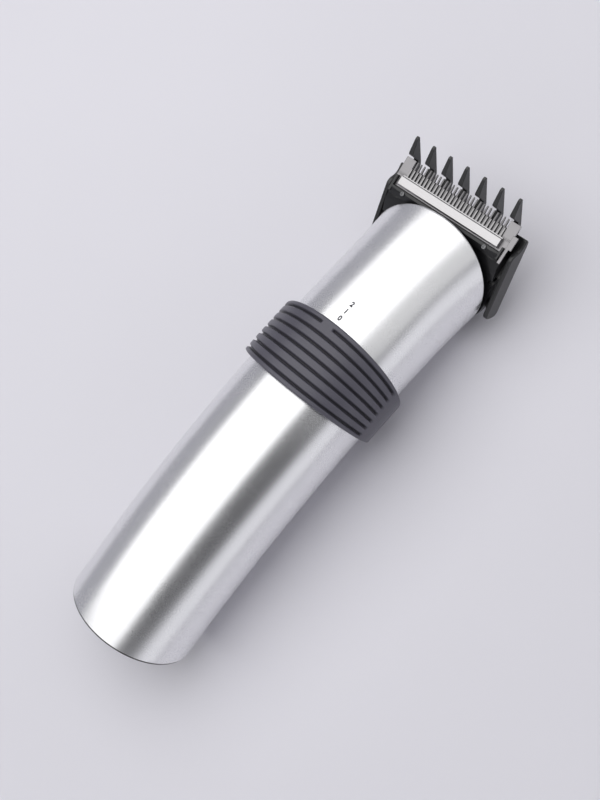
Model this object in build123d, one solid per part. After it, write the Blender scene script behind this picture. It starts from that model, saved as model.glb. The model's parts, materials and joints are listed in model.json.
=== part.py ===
from build123d import *
import os
from math import cos, degrees, radians, sin, tan

# Hair clipper, millimetres. Y runs along the body towards the blades, Z is up.
# The body is an oval tube bent along an arc, and lies on its tail and its front end.
# "station" is a length along that arc, "height" is measured out from the arc.

# ---- body ----
arc_radius = 363.0
half_width = 20.5
half_height = 15.8
shell_wall = 1.6
flare_start = 52.0
flare_length = 30.0
flare_steps = 6
flare_width = 2.2
flare_height = 0.5
tail_station = -64.55
tail_slope = -0.30
seam_station = 29.8
seam_slope = 0.13
mouth_station = 68.95
mouth_slope = 0.53

# ---- grip ring and its switch ----
ring_rear_station = 16.62
ring_rear_slope = -0.166
ring_front_station = 32.51
ring_front_slope = 0.128
ring_gap = 0.3
carrier_wall = 0.8
grip_wall = 1.4
groove_count = 7
groove_depth = 0.75
groove_share = 0.42
mark_pitch = 2.48
mark_station = 37.0
ring_travel = 2 * mark_pitch
link_station = 22.5
link_half_width = 2.0

# ---- chassis and what it carries ----
chassis_gap = 0.25
chassis_wall = 1.2
board_height = 4.4
board_size = (24.0, 29.0, 1.2)
board_station = 16.0
cell_radius = 7.1
cell_length = 48.0
cell_station = -26.5
cell_spacing = 14.8
motor_axis_z = -3.2
motor_radius = 10.0
motor_flat = 15.4
motor_rear_y = 36.0
motor_front_y = 61.0
shaft_radius = 1.0
shaft_fit = 0.04
cam_front_y = 70.0
pin_front_y = 72.0
pin_offset = 1.2
pin_radius = 0.9

# ---- blades: u runs forward along the blade plane, v out of it, from the tooth tips ----
tip_point = (0.0, 89.28, 6.86)
blade_angle = 18.5
skin_angle = 22.5
skin_drop = 3.5
fixed_half_width = 20.7
fixed_thickness = 1.2
fixed_pitch = 1.24
fixed_depth = 4.6
cutter_half_width = 18.6
cutter_teeth = 30
cutter_stroke = 1.2
bar_rear = -8.43
bar_front = -5.47
bar_top = 1.3
cutter_tip = -2.48
blade_gap = 0.03
holder_half_width = 21.2
block_back = 1.6
collar_front = 1.2
pivot = (2.9, -12.6)
knuckle_radius = 1.6
knuckle_half = 6.6
lug_inner = 6.8
lug_outer = 9.4
hinge_radius = 0.8
hinge_fit = 0.05

# ---- comb ----
prong_count = 7
prong_pitch = 6.2
prong_thickness = 1.7
comb_floor = 1.5
arm_inner = 22.2
arm_outer = 23.7
arm_width = 5.6
rail_height = 1.0

big = 240.0
ARC = Axis((0, 0, -arc_radius), (-1, 0, 0))
nodes = {}


def across(station):
    """Plane across the body: local x is X, local y is height."""
    a = station / arc_radius
    origin = (0, arc_radius * sin(a), arc_radius * (cos(a) - 1))
    return Plane(origin=origin, x_dir=(1, 0, 0), z_dir=(0, -cos(a), sin(a)))


def bend(sketch, start, stop):
    """Turn a section about the arc's centre, from one station to another."""
    turn = degrees((stop - start) / arc_radius)
    return revolve(across(start) * sketch, ARC, turn)


def oval(inset=0.0):
    return Ellipse(half_width - inset, half_height - inset)


def beyond(station, slope, shift=0.0):
    """Half space on the head's side of a slanted plane across the body."""
    a = station / arc_radius
    forward = Vector(0, cos(a) - slope * sin(a), -sin(a) - slope * cos(a)).normalized()
    origin = Vector(0, arc_radius * sin(a), arc_radius * (cos(a) - 1)) + forward * shift
    plane = Plane(origin=origin, x_dir=(1, 0, 0), z_dir=forward)
    return plane * Pos(0, 0, big / 2) * Box(big, big, big)


def between(shape, rear, front):
    """Keep what lies between two slanted planes, each (station, slope, shift)."""
    return (shape & beyond(*rear)) - beyond(*front)


def mouth_plane():
    """Plane of the slanted front opening: local y climbs its rim, z points forward."""
    a = mouth_station / arc_radius
    forward = Vector(0, cos(a) - mouth_slope * sin(a), -sin(a) - mouth_slope * cos(a))
    origin = (0, arc_radius * sin(a), arc_radius * (cos(a) - 1))
    return Plane(origin=origin, x_dir=(-1, 0, 0), z_dir=forward)


def tail_plane():
    """Plane of the slanted tail: z points back out of the tail."""
    a = tail_station / arc_radius
    back = Vector(0, -cos(a) + tail_slope * sin(a), sin(a) + tail_slope * cos(a))
    origin = (0, arc_radius * sin(a), arc_radius * (cos(a) - 1))
    return Plane(origin=origin, x_dir=(1, 0, 0), z_dir=back)


def blade_plane(x=0.0):
    """Side view of the blades at one X: local x is u, local y is v."""
    origin = Vector(*tip_point) + Vector(x, 0, 0)
    b = radians(blade_angle)
    return Plane(origin=origin, x_dir=(0, cos(b), sin(b)), z_dir=(1, 0, 0))


def blade_prism(points, x_from, x_to):
    """Extrude a side-view outline in u and v across the blades."""
    outline = blade_plane(x_from) * make_face(Polyline(*points, close=True))
    return extrude(outline, amount=x_to - x_from, dir=(1, 0, 0))


def blade_box(u0, u1, v0, v1, x0, x1):
    return blade_prism([(u0, v0), (u1, v0), (u1, v1), (u0, v1)], x0, x1)


def skin_v(u, lift=0.0):
    """Height v of the comb's skin side at u, raised by lift along its normal."""
    return -skin_drop + u * tan(radians(skin_angle)) + lift / cos(radians(skin_angle))


def mouth_to_blade(forward, climb):
    """Turn a point given from the mouth's rim plane into u and v."""
    point = mouth_plane().from_local_coords(Vector(0, climb, forward))
    local = blade_plane().to_local_coords(point)
    return (local.X, local.Y)


def level_u(forward, v):
    """Length u at which height v lies a given way forward of the mouth's rim plane."""
    start = mouth_plane().to_local_coords(blade_plane().from_local_coords(Vector(0, v, 0))).Z
    step = mouth_plane().to_local_coords(blade_plane().from_local_coords(Vector(1, v, 0))).Z - start
    return (forward - start) / step


def add(name, *shapes):
    solids = [solid for shape in shapes for solid in shape.solids()]
    nodes[name] = Compound(solids) if len(solids) > 1 else solids[0]


# ================= barrels =================
def nose(inset):
    """Front of the body's outline, widening a little towards the head."""
    sections = []
    for step in range(flare_steps + 1):
        ahead = step * flare_length / flare_steps
        share = (ahead / flare_length) ** 2
        a = half_width - inset + share * flare_width
        b = half_height - inset + share * flare_height
        sections.append(across(flare_start + ahead) * Ellipse(a, b))
    return loft(sections, ruled=True)


run_outer = bend(oval(), tail_station - 12, flare_start)
run_inner = bend(oval(shell_wall), tail_station - 12, flare_start)
nose_outer = nose(0)
nose_inner = nose(shell_wall)
tail_cut = (tail_station, tail_slope)
seam_cut = (seam_station, seam_slope)
mouth_cut = (mouth_station, mouth_slope)

slot_rear = link_station - link_half_width - 0.6
slot_front = link_station + ring_travel + link_half_width + 0.6
slot = bend(Pos(0, half_height) * Rectangle(2 * link_half_width + 1.2, 12), slot_rear, slot_front)

lower_barrel = between(run_outer - run_inner, tail_cut, seam_cut) - slot
add("lower_barrel", lower_barrel)

upper_rear = (run_outer - run_inner) & beyond(*seam_cut)
upper_front = nose_outer - nose_inner - beyond(*mouth_cut)
upper_barrel = upper_rear + upper_front


def digit_zero():
    return Ellipse(0.55, 0.85) - Ellipse(0.3, 0.6)


def digit_one():
    return Rectangle(0.28, 1.7) + Pos(-0.22, 0.6) * Rot(0, 0, 40) * Rectangle(0.5, 0.26)


def digit_two():
    hook = Pos(0, 0.35) * (Circle(0.52) - Circle(0.25))
    hook -= Pos(-0.3, 0.0) * Rectangle(0.6, 0.7)
    leg = Pos(-0.02, -0.33) * Rot(0, 0, -42) * Rectangle(0.27, 1.05)
    return hook + leg + Pos(0, -0.72) * Rectangle(1.0, 0.26)


mark_depth = 0.15
skin_layer = run_outer - bend(oval(mark_depth), seam_station, flare_start)
mark_solids = []
for index, digit in enumerate([digit_zero(), digit_one(), digit_two()]):
    spot = across(mark_station + index * mark_pitch)
    level = Plane(origin=spot.origin, x_dir=(1, 0, 0), z_dir=spot.y_dir)
    prism = extrude(level * digit, amount=half_height + 2)
    mark_solids.append(prism & skin_layer)
for mark in mark_solids:
    upper_barrel -= mark
add("upper_barrel", upper_barrel)
add("position_marks", *mark_solids)

# ================= grip ring =================
ring_rear = (ring_rear_station, ring_rear_slope)
ring_front = (ring_front_station, ring_front_slope)


def ring_layer(inner_offset, outer_offset):
    layer = oval(-outer_offset) - oval(-inner_offset)
    return between(bend(layer, 6, 44), ring_rear, ring_front)


carrier_outer = ring_gap + carrier_wall
grip_outer = carrier_outer + grip_wall


def ring_cut(share):
    """Slanted plane a share of the way from the ring's front edge to its rear edge."""
    station = ring_front_station + share * (ring_rear_station - ring_front_station)
    slope = ring_front_slope + share * (ring_rear_slope - ring_front_slope)
    return (station, slope)


grip_ring = ring_layer(carrier_outer, grip_outer)
groove_layer = bend(oval(-grip_outer - 1) - oval(-grip_outer + groove_depth), 6, 44)
groove_layer &= Pos(0, 24, 17.5) * Box(60, 60, 30)
groove_pitch = 1.0 / (groove_count + 0.2)
for index in range(groove_count):
    middle = (index + 0.6) * groove_pitch
    half_share = groove_share * groove_pitch / 2
    groove = between(groove_layer, ring_cut(middle + half_share), ring_cut(middle - half_share))
    if index == 0:
        groove -= Pos(0, 35, 20) * Box(3.9, 30, 20)
    grip_ring -= groove
add("grip_ring", grip_ring)
add("ring_carrier", ring_layer(ring_gap, carrier_outer))

link_low = 11.4
link_top = half_height + ring_gap
link = bend(
    Pos(0, (link_low + link_top) / 2) * Rectangle(2 * link_half_width, link_top - link_low + 0.3),
    link_station - link_half_width,
    link_station + link_half_width,
)
carrier_inside = bend(oval(-ring_gap), 6, 44)
add("switch_link", link & carrier_inside)

# ================= chassis =================
chassis_outer = shell_wall + chassis_gap
chassis_inner = chassis_outer + chassis_wall
chassis_rear = -58.0
chassis_front = 72.0
chassis_ends = (tail_station, tail_slope, 6.0), (mouth_station, mouth_slope, -6.0)
hollow = oval(chassis_outer) - oval(chassis_inner)
lower_half = Pos(0, -20.02) * Rectangle(80, 40)
upper_half = Pos(0, 20.02) * Rectangle(80, 40)
tray = between(bend(hollow & lower_half, chassis_rear - 8, chassis_front), *chassis_ends)
cover = between(bend(hollow & upper_half, chassis_rear - 8, chassis_front), *chassis_ends)
cover -= bend(Pos(0, 14) * Rectangle(2 * link_half_width + 1.2, 8), slot_rear, slot_front)

inside = bend(oval(chassis_outer + 0.4), chassis_rear - 8, chassis_front)
board_plane = across(board_station)
board_level = Plane(origin=board_plane.origin, x_dir=(1, 0, 0), z_dir=board_plane.y_dir)
post_y = 12.0
board_posts = []
for y in (-post_y, post_y):
    board_posts.append(board_level * Pos(9.5, y, board_height - 15) * Cylinder(2.0, 30))
    board_posts.append(board_level * Pos(-9.5, y, board_height - 15) * Cylinder(2.0, 30))
for post in board_posts:
    tray += post & inside
screw_holes = [
    board_level * Pos(9.5, post_y, board_height - 2.5) * Cylinder(0.75, 5),
    board_level * Pos(-9.5, -post_y, board_height - 2.5) * Cylinder(0.75, 5),
]
for hole in screw_holes:
    tray -= hole
add("chassis_tray", tray)
add("chassis_cover", cover)

# ================= tail =================
TAIL = tail_plane()
cap_outer = shell_wall + 0.12
cap_depth = 2.4
cap_proud = 1.2
flange_inset = 0.25
flange_thickness = 0.5
plug = bend(oval(cap_outer), tail_station - 12, tail_station + 20)
cap = between(plug, (tail_station, tail_slope, -cap_proud), (tail_station, tail_slope, cap_depth))
flange = bend(oval(flange_inset), tail_station - 12, tail_station + 20)
cap += between(flange, (tail_station, tail_slope, -flange_thickness), (tail_station, tail_slope, 0))
socket_radius = 3.6
jack_radius = 1.75
jack_depth = 10.0
cap_screw_x = 11.5
light_x = 7.0
light_radius = 1.4
cap -= TAIL * Pos(0, 0, -1) * Cylinder(socket_radius, 12)
cap -= TAIL * Pos(light_x, 0, -1) * Cylinder(light_radius, 12)
for x in (-cap_screw_x, cap_screw_x):
    cap -= TAIL * Pos(x, 0, -1) * Cylinder(1.1, 12)
    cap -= TAIL * Pos(x, 0, 0.5) * Cylinder(2.2, 1.6)
add("tail_cap", cap)

socket_length = jack_depth + 1.4 + cap_proud
socket = TAIL * Pos(0, 0, cap_proud - socket_length / 2) * Cylinder(socket_radius, socket_length)
socket -= TAIL * Pos(0, 0, cap_proud - jack_depth / 2) * Cylinder(jack_radius, jack_depth)
add("charging_socket", socket)
contact_z = -jack_depth - 1.4
add(
    "socket_contacts",
    TAIL * Pos(-1.8, 0, contact_z - 1.2) * Box(1.2, 0.4, 2.4),
    TAIL * Pos(1.8, 0, contact_z - 1.2) * Box(1.2, 0.4, 2.4),
)
add("charge_light", TAIL * Pos(light_x, 0, (cap_proud - 5.0) / 2) * Cylinder(light_radius, cap_proud + 5.0))
cap_screws = []
for x in (-cap_screw_x, cap_screw_x):
    head = TAIL * Pos(x, 0, -0.3 + 0.55) * Cylinder(2.0, 1.1)
    shank = TAIL * Pos(x, 0, -0.3 - 3.5) * Cylinder(1.1, 7.0)
    cap_screws.append(head + shank)
add("cap_screws", *cap_screws)
bosses = []
for x in (-cap_screw_x, cap_screw_x):
    boss = TAIL * Pos(x, 0, -cap_depth - 2.5) * Cylinder(2.4, 4.6)
    bosses.append(boss - TAIL * Pos(x, 0, -cap_depth - 2.5) * Cylinder(1.1, 12))
add("screw_bosses", *bosses)

# ================= battery =================
CELLS = Plane(origin=across(cell_station).origin, x_dir=(1, 0, 0), z_dir=across(cell_station).y_dir)
cell_height = -1.2
can_length = cell_length - 1.2


def along_cells(x, y, shape):
    return CELLS * Pos(x, y, cell_height) * Rot(90, 0, 0) * shape


cells = []
caps = []
for x in (-cell_spacing / 2, cell_spacing / 2):
    cells.append(along_cells(x, -0.6, Cylinder(cell_radius, can_length)))
    caps.append(along_cells(x, cell_length / 2 - 0.6, Cylinder(2.6, 1.2)))
add("battery_cells", *cells)
add("battery_terminals", *caps)
strip_rear = CELLS * Pos(0, -cell_length / 2 - 0.15, cell_height) * Box(20, 0.3, 5)
strip_front = CELLS * Pos(-cell_spacing / 2, cell_length / 2 + 0.15, cell_height) * Box(5, 0.3, 5)
strip_other = CELLS * Pos(cell_spacing / 2, cell_length / 2 + 0.15, cell_height) * Box(5, 0.3, 5)
add("battery_strips", strip_rear, strip_front, strip_other)

# ================= circuit board =================
board = board_level * Pos(0, 0, board_height + board_size[2] / 2) * Box(*board_size)
for x, y in ((9.5, post_y), (-9.5, -post_y)):
    board -= board_level * Pos(x, y, board_height) * Cylinder(0.75, 6)
add("circuit_board", board)
board_top = board_height + board_size[2]


def on_board(x, y, shape, height):
    return board_level * Pos(x, y, board_top + height / 2) * shape


parts_on_board = [
    on_board(-7.0, -3.0, Cylinder(2.0, 3.0), 3.0),
    on_board(6.5, -6.0, Box(5.0, 6.0, 1.4), 1.4),
    on_board(-7.0, 4.0, Box(2.0, 3.4, 1.0), 1.0),
    on_board(7.5, 2.5, Cylinder(1.8, 2.6), 2.6),
    on_board(0.0, -10.0, Box(3.2, 1.6, 0.8), 0.8),
]
add("board_parts", *parts_on_board)
board_screws = []
for x, y in ((9.5, post_y), (-9.5, -post_y)):
    screw = on_board(x, y, Cylinder(1.5, 0.9), 0.9)
    screw += board_level * Pos(x, y, board_top - 2.5) * Cylinder(0.75, 5.0)
    board_screws.append(screw)
add("board_screws", *board_screws)

switch_y = link_station + ring_travel / 2 - board_station
switch_height = 4.6
knob_half = 0.9
housing = on_board(0, switch_y, Box(6.4, 12.0, switch_height), switch_height)
pocket_depth = 2.4
housing -= board_level * Pos(0, switch_y, board_top + switch_height - pocket_depth / 2) * Box(
    2 * knob_half + 0.5, ring_travel + 2 * knob_half + 0.9, pocket_depth
)
add("slide_switch", housing)
knob_low = board_top + switch_height - pocket_depth + 0.35
knob = across(link_station) * Pos(0, (knob_low + link_low) / 2, 0) * Box(
    2 * knob_half, link_low - knob_low, 2 * knob_half
)
add("switch_knob", knob - nodes["switch_link"])

# ================= motor =================
AXIS = Plane(origin=(0, 0, motor_axis_z), x_dir=(1, 0, 0), z_dir=(0, 1, 0))


def turned(radius, y_from, y_to, x=0.0, z=0.0):
    """Cylinder along the motor's axis between two Y positions."""
    place = Pos(x, (y_from + y_to) / 2, motor_axis_z + z)
    return place * Rot(90, 0, 0) * Cylinder(radius, y_to - y_from)


def flatted(radius, flat, y_from, y_to):
    block = Pos(0, (y_from + y_to) / 2, motor_axis_z) * Box(4 * radius, y_to - y_from, flat)
    return turned(radius, y_from, y_to) & block


can_wall = 0.8
motor_can = flatted(motor_radius, motor_flat, motor_rear_y, motor_front_y)
can_inner = (motor_radius - can_wall, motor_flat - 2 * can_wall)
motor_can -= flatted(*can_inner, motor_rear_y - 1, motor_front_y - can_wall)
motor_can -= turned(2.5, motor_front_y - 2, motor_front_y + 1)
add("motor_can", motor_can)
bush = turned(2.5, motor_front_y - can_wall, motor_front_y + 1.6)
bush -= turned(shaft_radius + shaft_fit, motor_front_y - 3, motor_front_y + 3)
add("motor_bush", bush)
end_cap = flatted(motor_radius, motor_flat, motor_rear_y - 2.4, motor_rear_y)
end_cap -= turned(shaft_radius + shaft_fit, motor_rear_y - 1.6, motor_rear_y + 1)
add("motor_end_cap", end_cap)
terminal_x = 5.5
terminals = []
for x in (-terminal_x, terminal_x):
    terminals.append(Pos(x, motor_rear_y - 2.4 - 1.5, motor_axis_z) * Box(2.0, 3.0, 0.4))
add("motor_terminals", *terminals)
magnet_ring = flatted(motor_radius - can_wall, motor_flat - 2 * can_wall, motor_rear_y + 3, motor_front_y - 4)
magnet_ring -= turned(6.3, motor_rear_y, motor_front_y)
magnet_ring -= Pos(0, 48, motor_axis_z) * Box(5.0, 60, 40)
add("motor_magnets", magnet_ring)
rotor = turned(5.9, motor_rear_y + 6, motor_front_y - 7)
for index in range(3):
    gap = Pos(0, 48, motor_axis_z) * Rot(0, 120 * index + 60, 0) * Pos(4.6, 0, 0) * Box(3.2, 60, 1.2)
    rotor -= gap
shaft_hole = turned(shaft_radius, motor_rear_y - 8, motor_front_y + 8)
add("motor_rotor", rotor - shaft_hole)
add("motor_commutator", turned(2.2, motor_rear_y + 1.2, motor_rear_y + 5.2) - shaft_hole)
add("motor_shaft", turned(shaft_radius, motor_rear_y - 1.5, cam_front_y - 0.6))
cam = turned(3.8, cam_front_y - 4.0, cam_front_y) - turned(shaft_radius, cam_front_y - 8, cam_front_y - 0.6)
add("eccentric_cam", cam)
add("eccentric_pin", turned(pin_radius, cam_front_y, pin_front_y, z=pin_offset))

mount_front_y = motor_front_y + 2.2
mount_room = bend(oval(chassis_inner + 0.1), 40, 72) - beyond(mouth_station, mouth_slope, -1.3)
mount_block = Box(60, mount_front_y - motor_front_y, 60)
motor_mount = mount_room & Pos(0, (motor_front_y + mount_front_y) / 2, 0) * mount_block
motor_mount -= turned(2.6, motor_front_y - 1, mount_front_y + 1)
mount_screw_x = 6.0
motor_screws = []
for x in (-mount_screw_x, mount_screw_x):
    motor_mount -= turned(1.0, motor_front_y - 1, mount_front_y + 1, x=x)
    screw = turned(1.0, motor_front_y - can_wall, mount_front_y, x=x)
    motor_screws.append(screw + turned(1.8, mount_front_y, mount_front_y + 1.1, x=x))
    nodes["motor_can"] -= turned(1.0, motor_front_y - 2, motor_front_y + 1, x=x)
add("motor_mount", motor_mount)
add("motor_screws", *motor_screws)

# ================= leads =================
lead_radius = 0.6
lead_height = 6.55
charge_leads = []
for x in (-11.5, 11.5):
    run = bend(Pos(x, lead_height) * Circle(lead_radius), -52, board_station - board_size[1] / 2 + 1.5)
    charge_leads.append(run)
add("charge_leads", *charge_leads)
motor_leads = []
for x in (-terminal_x, terminal_x):
    low = (x, motor_rear_y - 3.9, motor_axis_z + 0.2 + lead_radius)
    high = (x, 28.5, board_height - 2.0)
    path = FilletPolyline(low, (x, motor_rear_y - 5.9, motor_axis_z + 1.2), high, radius=1.5)
    lead = sweep(Plane(origin=path @ 0, z_dir=path % 0) * Circle(lead_radius * 0.8), path=path)
    motor_leads.append(lead)
add("motor_leads", *motor_leads)

# ================= head frame =================
MOUTH = mouth_plane()
frame_gap = 0.15
frame_outer = nose(shell_wall + frame_gap)
plate_back = -0.9
frame_depth = 5.8
frame = between(frame_outer, (*mouth_cut, -frame_depth), (*mouth_cut, collar_front))
frame_room = bend(oval(chassis_inner - 0.03), 40, 80) - beyond(mouth_station, mouth_slope, plate_back)
frame -= frame_room
throat = MOUTH * Pos(0, 1.5, 0) * Box(25, 17, 40)
frame -= throat
snap_x = 15.0
snap_climb = 3.0
for x in (-snap_x, snap_x):
    frame -= MOUTH * Pos(x, snap_climb + 0.2, 0) * Box(3.2, 5.8, 30)

# ================= blades =================
block_bottom = -13.2
front_clear = comb_floor + 0.4
fixed_rear = level_u(block_back, 0)


def tooth_rows(count, pitch, u_root, u_tip, v0, v1, gap_share):
    """Wedges that cut the gaps between teeth, narrowing to the root."""
    gaps = []
    b = radians(blade_angle)
    top = Plane(origin=tip_point, x_dir=(1, 0, 0), z_dir=(0, -sin(b), cos(b)))
    for index in range(count):
        x = (index - (count - 1) / 2) * pitch
        half_root = gap_share * pitch / 2
        half_tip = half_root + 0.16
        outline = Polyline((x - half_root, u_root), (x + half_root, u_root),
                           (x + half_tip, u_tip), (x - half_tip, u_tip), close=True)
        gaps.append(extrude(top * Pos(0, 0, v0) * make_face(outline), amount=v1 - v0))
    return gaps


fixed_low_rear = level_u(block_back, -fixed_thickness)
fixed_outline = [
    (fixed_rear, 0),
    (fixed_low_rear, -fixed_thickness),
    (-6.5, -fixed_thickness),
    (0, -0.35),
    (0, 0),
]
fixed_blade = blade_prism(fixed_outline, -fixed_half_width, fixed_half_width)
fork_half_width = 4.0
window = fork_half_width + cutter_stroke + 0.5
fixed_blade -= blade_box(-8.6, -6.0, -5, 1, -window, window)
fixed_count = 29
for gap in tooth_rows(fixed_count, fixed_pitch, -fixed_depth, 1.0, -2, 1, 0.42):
    fixed_blade -= gap
screw_u = -9.95
screw_shank = 0.6
screw_x = 15.4
for x in (-screw_x, screw_x):
    hole = blade_plane(x) * Pos(screw_u, -1, 0) * Rot(90, 0, 0) * Cylinder(screw_shank, 8)
    fixed_blade -= hole
add("fixed_blade", fixed_blade)

cutter = blade_prism(
    [(bar_rear, blade_gap), (cutter_tip, blade_gap), (cutter_tip, 0.3), (-3.0, 0.55),
     (bar_front, 0.6), (bar_front, bar_top - 0.15), (bar_front - 0.25, bar_top),
     (bar_rear + 0.4, bar_top), (bar_rear, bar_top - 0.4)],
    -cutter_half_width, cutter_half_width)
for gap in tooth_rows(cutter_teeth, fixed_pitch, bar_front + 0.35, cutter_tip + 1.0, -1, 0.9, 0.46):
    cutter -= gap
add("moving_cutter", cutter)

# the fork hangs from the cutter through the fixed blade's window
fork_rear = 2.9
fork_front = 3.8
fork_low = 4.4
fork_bend = 12.6
fork = blade_prism(
    [(-8.2, blade_gap), (-6.6, blade_gap), (-6.6, -1.9), mouth_to_blade(fork_front, fork_bend),
     mouth_to_blade(fork_front, fork_low), mouth_to_blade(fork_rear, fork_low),
     mouth_to_blade(fork_rear, fork_bend), (-8.2, -1.9)],
    -fork_half_width, fork_half_width)
fork -= MOUTH * Pos(0, 6.0, 4) * Box(2 * pin_radius + 0.2, 7.0, 8)
add("drive_fork", fork)

# black cover over the rear of the cutter and beside its ends, held by two screws
cheek_inner = cutter_half_width + cutter_stroke + 0.15
cheek_left_front = -5.9
cheek_right_front = -7.3
cover_right = 20.5
retainer_front = bar_rear - 0.35
retainer_top = 1.0
retainer_points = [
    (fixed_rear, 0.0),
    (retainer_front, 0.0),
    (retainer_front, 0.7),
    (retainer_front - 0.3, retainer_top),
    (level_u(block_back, retainer_top), retainer_top),
]
retainer = blade_prism(retainer_points, -fixed_half_width, cover_right)
retainer += blade_box(fixed_rear + 0.5, cheek_left_front, 0, retainer_top, -fixed_half_width, -cheek_inner)
retainer += blade_box(fixed_rear + 0.5, cheek_right_front, 0, retainer_top, cheek_inner, cover_right)
blade_screws = []
for x in (-screw_x, screw_x):
    retainer -= blade_plane(x) * Pos(screw_u, -1, 0) * Rot(90, 0, 0) * Cylinder(screw_shank, 8)
    head = blade_plane(x) * Pos(screw_u, retainer_top + 0.25, 0) * Rot(90, 0, 0) * Cylinder(0.95, 0.5)
    shank = blade_plane(x) * Pos(screw_u, retainer_top - 2.5, 0) * Rot(90, 0, 0) * Cylinder(screw_shank, 5.0)
    blade_screws.append(head + shank)
add("cutter_retainer", retainer)
add("blade_screws", *blade_screws)

# steel clip at one end of the cutter
clip_top = 0.4
clip = blade_box(-7.2, -3.2, 0, clip_top, fixed_half_width + 0.05, 22.5)
clip += blade_box(-11.7, -7.2, 0, clip_top, fixed_half_width + 0.05, 21.7)
add("side_clip", clip)

# ================= blade holder =================
front_low = mouth_to_blade(4.0, block_bottom)
holder_front_u = -8.6
holder_points = [
    (fixed_low_rear, -fixed_thickness),
    (holder_front_u, -fixed_thickness),
    (holder_front_u, skin_v(holder_front_u, front_clear)),
    (front_low[0], skin_v(front_low[0], front_clear)),
    mouth_to_blade(block_back, block_bottom),
]
holder = blade_prism(holder_points, -holder_half_width, holder_half_width)
cavity = MOUTH * Pos(0, 7.9, 0) * Box(2 * (window + 0.6), 18.3, 40)
front_skin = blade_prism([
    (holder_front_u + 4, skin_v(holder_front_u + 4, front_clear + 1.2)),
    (front_low[0] - 6, skin_v(front_low[0] - 6, front_clear + 1.2)),
    (front_low[0] - 6, 12), (holder_front_u + 4, 12)], -12, 12)
holder -= cavity & front_skin
for x in (-screw_x, screw_x):
    holder -= blade_plane(x) * Pos(screw_u, -1, 0) * Rot(90, 0, 0) * Cylinder(screw_shank, 6.1)
rail_v = -4.6
groove_half = rail_height / 2 + 0.4
for side in (-1, 1):
    x0, x1 = sorted((side * (holder_half_width - 1.4), side * (holder_half_width + 1)))
    holder -= blade_box(-18.0, 2.0, rail_v - groove_half, rail_v + groove_half, x0, x1)

# corners rounded in the mouth's plane, and the knuckle at the lower edge
outline_corner = 14.0
outline_height = 120.0
outline_face = Pos(0, block_bottom + outline_height / 2) * RectangleRounded(
    2 * holder_half_width, outline_height, outline_corner
)
outline = MOUTH * Pos(0, 0, -20) * extrude(outline_face, 60)
holder &= outline
pivot_at = MOUTH.from_local_coords(Vector(0, pivot[1], pivot[0]))


def hinge_rod(radius, x0, x1):
    return Pos((x0 + x1) / 2, pivot_at.Y, pivot_at.Z) * Rot(0, 90, 0) * Cylinder(radius, x1 - x0)


for side in (-1, 1):
    x0, x1 = sorted((side * (knuckle_half + 0.05), side * (lug_outer + 0.4)))
    holder -= MOUTH * Pos((x0 + x1) / 2, block_bottom - 5 + 2.8 + 0.6, 0) * Box(x1 - x0, 10, 40)
holder += hinge_rod(knuckle_radius, -knuckle_half, knuckle_half)
holder -= hinge_rod(hinge_radius + hinge_fit, -20, 20)
for x in (-snap_x, snap_x):
    holder += MOUTH * Pos(x, snap_climb, -0.9) * Box(2.2, 3.6, 5.2)
add("blade_holder", holder)
add("hinge_pin", hinge_rod(hinge_radius, -lug_outer, lug_outer))

# lugs of the head frame that carry the hinge pin
frame -= hinge_rod(knuckle_radius + 0.3, -lug_inner, lug_inner)
for x0, x1 in ((-lug_outer, -lug_inner), (lug_inner, lug_outer)):
    frame += hinge_rod(knuckle_radius, x0, x1)
    frame += MOUTH * Pos((x0 + x1) / 2, pivot[1], pivot[0] / 2) * Box(x1 - x0, 2 * knuckle_radius, pivot[0])
frame -= hinge_rod(hinge_radius, -30, 30)
add("head_frame", frame)

# leaf spring on the front wall of the holder's pocket, behind the fork
spring_points = [
    (-19.0, skin_v(-19.0, front_clear + 1.2)),
    (-12.0, skin_v(-12.0, front_clear + 1.2)),
    (-12.0, skin_v(-12.0, front_clear + 1.5)),
    (-19.0, skin_v(-19.0, front_clear + 1.5)),
]
add("tension_spring", blade_prism(spring_points, -3.0, 3.0))

# ================= guide comb =================
comb_rear_u = -25.6
arm_front_u = -2.4
arm_shoulder_u = -8.6
arm_points = [
    (arm_front_u, skin_v(arm_front_u)),
    (comb_rear_u, skin_v(comb_rear_u)),
    (comb_rear_u - 2.2, skin_v(comb_rear_u - 2.2, arm_width)),
    (arm_shoulder_u, skin_v(arm_shoulder_u, arm_width)),
    (-5.9, skin_v(-5.9, 3.0)),
    (arm_front_u, skin_v(arm_front_u, comb_floor)),
]
arms = []
for x0, x1 in ((-arm_outer, -arm_inner), (arm_inner, arm_outer)):
    arms.append(blade_prism(arm_points, x0, x1))
floor_rear_u = -13.5
floor_points = [
    (arm_front_u, skin_v(arm_front_u)),
    (floor_rear_u, skin_v(floor_rear_u)),
    (floor_rear_u, skin_v(floor_rear_u, comb_floor)),
    (arm_front_u, skin_v(arm_front_u, comb_floor)),
]
comb = blade_prism(floor_points, -arm_outer, arm_outer)
bar_rear_u = comb_rear_u + 0.8
bar_front_u = comb_rear_u + 4.0
low_bar = [
    (bar_front_u, skin_v(bar_front_u)),
    (bar_rear_u, skin_v(bar_rear_u)),
    (bar_rear_u, skin_v(bar_rear_u, comb_floor)),
    (bar_front_u, skin_v(bar_front_u, comb_floor)),
]
comb += blade_prism(low_bar, -arm_outer, arm_outer)
for arm in arms:
    comb += arm
rail_rear_u = -15.5
for side in (-1, 1):
    x0, x1 = sorted((side * (holder_half_width - 1.0), side * (arm_inner + 0.4)))
    comb += blade_box(rail_rear_u, -9.5, rail_v - rail_height / 2, rail_v + rail_height / 2, x0, x1)
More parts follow.
